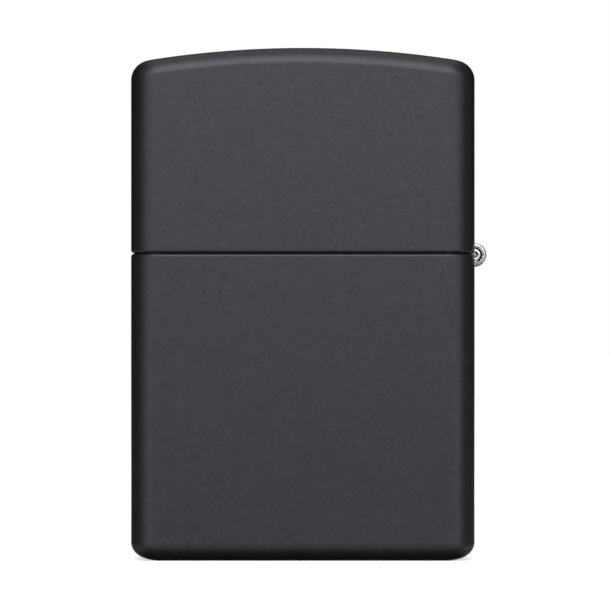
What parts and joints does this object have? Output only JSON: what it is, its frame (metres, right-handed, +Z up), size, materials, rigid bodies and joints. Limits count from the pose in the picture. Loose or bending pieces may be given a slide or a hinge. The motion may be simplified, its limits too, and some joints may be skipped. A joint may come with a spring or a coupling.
{
  "type": "petrol lighter",
  "caption": "Matt black flip-top windproof petrol lighter with a knuckle hinge, a sprung cam, and a lift-out insert with chimney, wick, flint and striking wheel.",
  "frame": {"origin": "centre of the case's base, on the surface that the lighter stands on", "axes": "+Z up along the height, +X across the broad face towards the hinge, -Y out of the broad front face"},
  "size_m": [0.0395, 0.013, 0.0569],
  "materials": {
    "coat": "matt black powder coat",
    "nickel": "bright nickel plate",
    "steel": "brushed stainless sheet",
    "dark_steel": "hardened steel",
    "brass": "satin brass",
    "cotton": "loose cotton",
    "wick": "braided cord",
    "felt": "pressed felt",
    "ferro": "matt grey alloy"
  },
  "bodies": {
    "case": {"case_bottom": "coat", "hinge_leaf_lower": "nickel", "hinge_pin": "nickel"},
    "lid": {"case_lid": "coat", "hinge_leaf_upper": "nickel"},
    "insert": {"insert_case": "steel", "deck_plate": "steel", "chimney": "steel", "wheel_rivet": "nickel", "cam_rivet": "nickel", "cam_spring": "dark_steel", "cam_spring_rivet": "nickel", "flint_tube": "brass", "flint_spring": "dark_steel", "flint_screw": "brass", "wick": "wick", "packing_1": "cotton", "packing_2": "cotton", "packing_3": "cotton", "packing_4": "cotton", "packing_5": "cotton", "felt_pad": "felt"},
    "wheel": {"flint_wheel": "dark_steel"},
    "cam": {"cam": "dark_steel"},
    "flint": {"flint": "ferro", "flint_spring_tip": "brass"}
  },
  "joints": [
    {"name": "lid_hinge", "type": "hinge", "parent": "case", "child": "lid", "pos_m": [0.0191, 0, 0.03395], "axis": [0, 1, 0], "range_deg": [0, 120]},
    {"name": "insert_slide", "type": "slide", "parent": "case", "child": "insert", "axis": [0, 0, 1], "range_m": [0, 0.0006]},
    {"name": "wheel_spin", "type": "hinge", "parent": "insert", "child": "wheel", "pos_m": [-0.0103, 0, 0.0433], "axis": [0, 1, 0], "continuous": true},
    {"name": "cam_pivot", "type": "hinge", "parent": "insert", "child": "cam", "pos_m": [0.0106, 0, 0.0404], "axis": [0, 1, 0], "range_deg": [0, 12], "stiffness_Nm_per_rad": 0.005, "springref_deg": -3.44, "deforming": ["cam_spring"]},
    {"name": "flint_feed", "type": "slide", "parent": "insert", "child": "flint", "axis": [0, 0, 1], "range_m": [-0.001, 0], "stiffness_N_per_m": 300, "springref_m": 0.001, "deforming": ["flint_spring"]}
  ]
}
